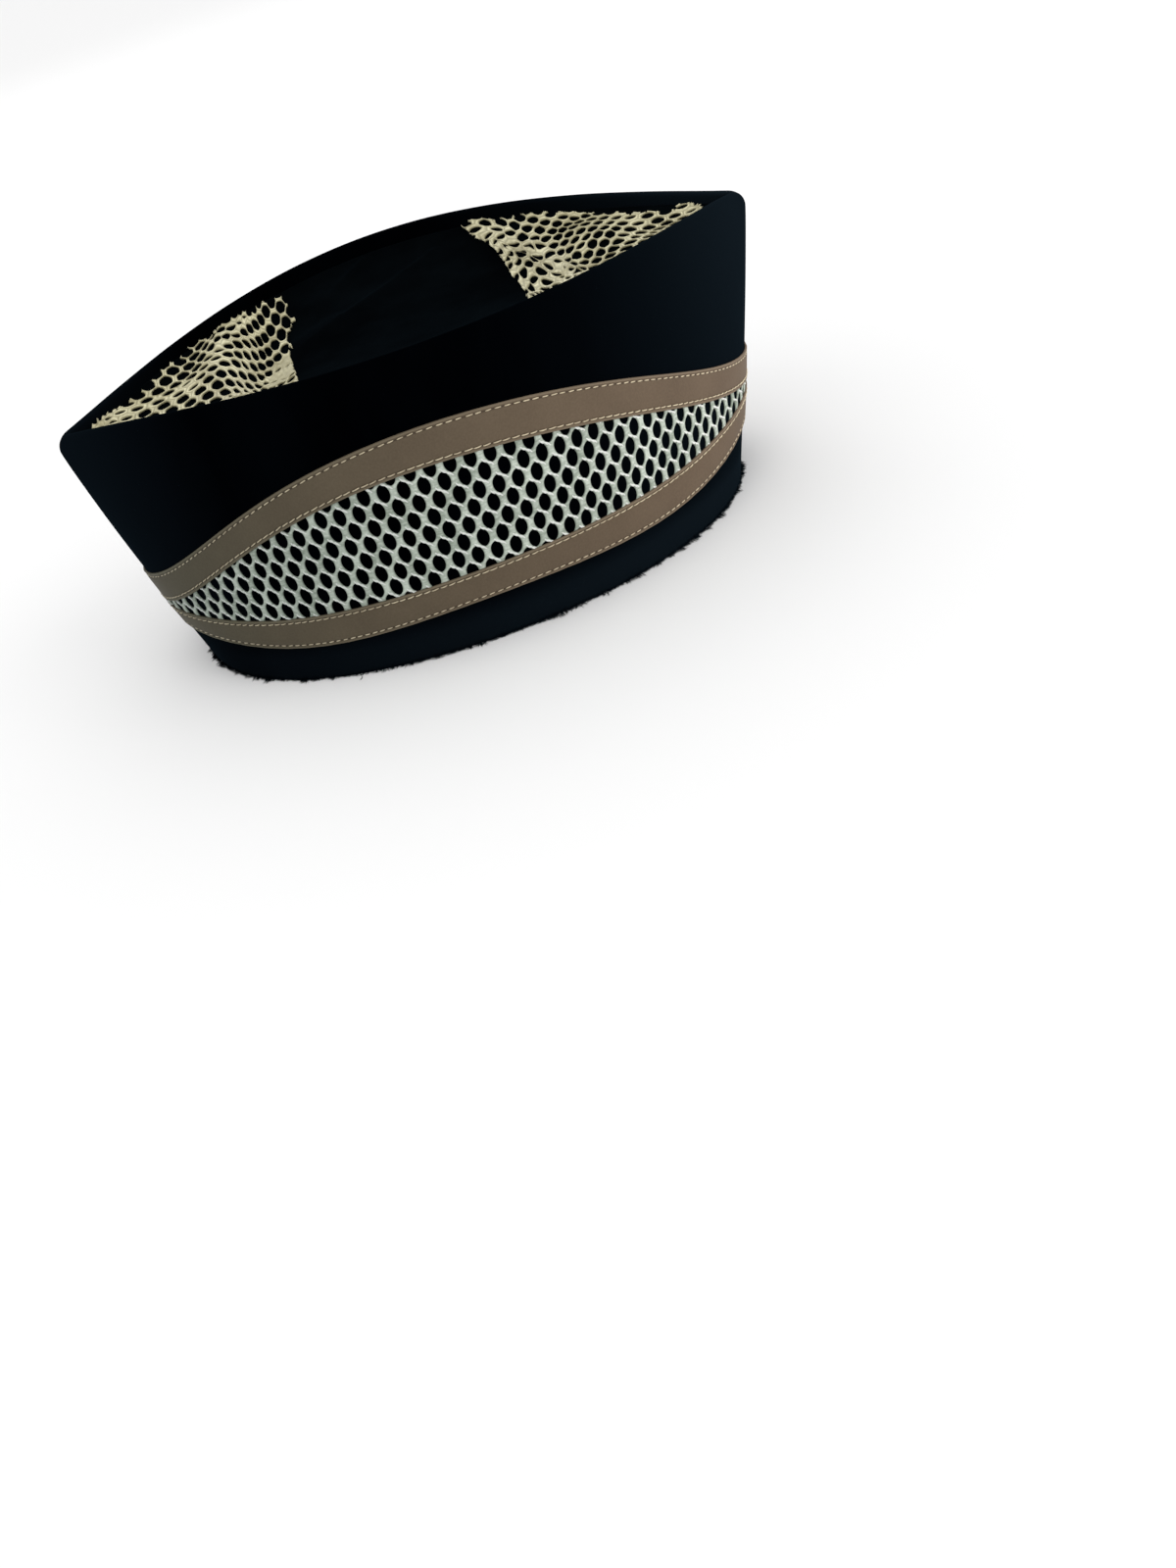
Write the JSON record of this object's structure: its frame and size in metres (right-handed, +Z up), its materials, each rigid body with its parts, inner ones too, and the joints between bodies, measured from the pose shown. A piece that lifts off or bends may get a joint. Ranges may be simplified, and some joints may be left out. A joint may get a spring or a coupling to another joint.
{
  "type": "chieftaincy cap",
  "caption": "Soft boat-shaped ceremonial cap in dark velvet, pointed front and back, with net bands between tapes and net triangles on a sunk crown.",
  "frame": {"origin": "on the surface that the cap stands on, under the middle of its outline", "axes": "+X to the front point, +Y to the wearer's left, +Z up"},
  "size_m": [0.2482, 0.1678, 0.0985],
  "materials": {
    "velvet": "deep black-blue velvet pile, brushed",
    "crown_velvet": "thin soft black velvet, slightly crushed",
    "tape": "matt taupe leather-look tape with a fine pale edge",
    "side_net": "off-white knitted net with a slight sheen",
    "top_net": "cream knitted net, raw cut edges"
  },
  "bodies": {
    "root": {"side_panel_right": "velvet", "side_panel_left": "velvet", "crown_panel": "crown_velvet", "lower_tape_right": "tape", "lower_tape_left": "tape", "upper_tape_right": "tape", "upper_tape_left": "tape", "side_net_right": "side_net", "side_net_left": "side_net", "top_net_front": "top_net", "top_net_back": "top_net"}
  },
  "joints": []
}
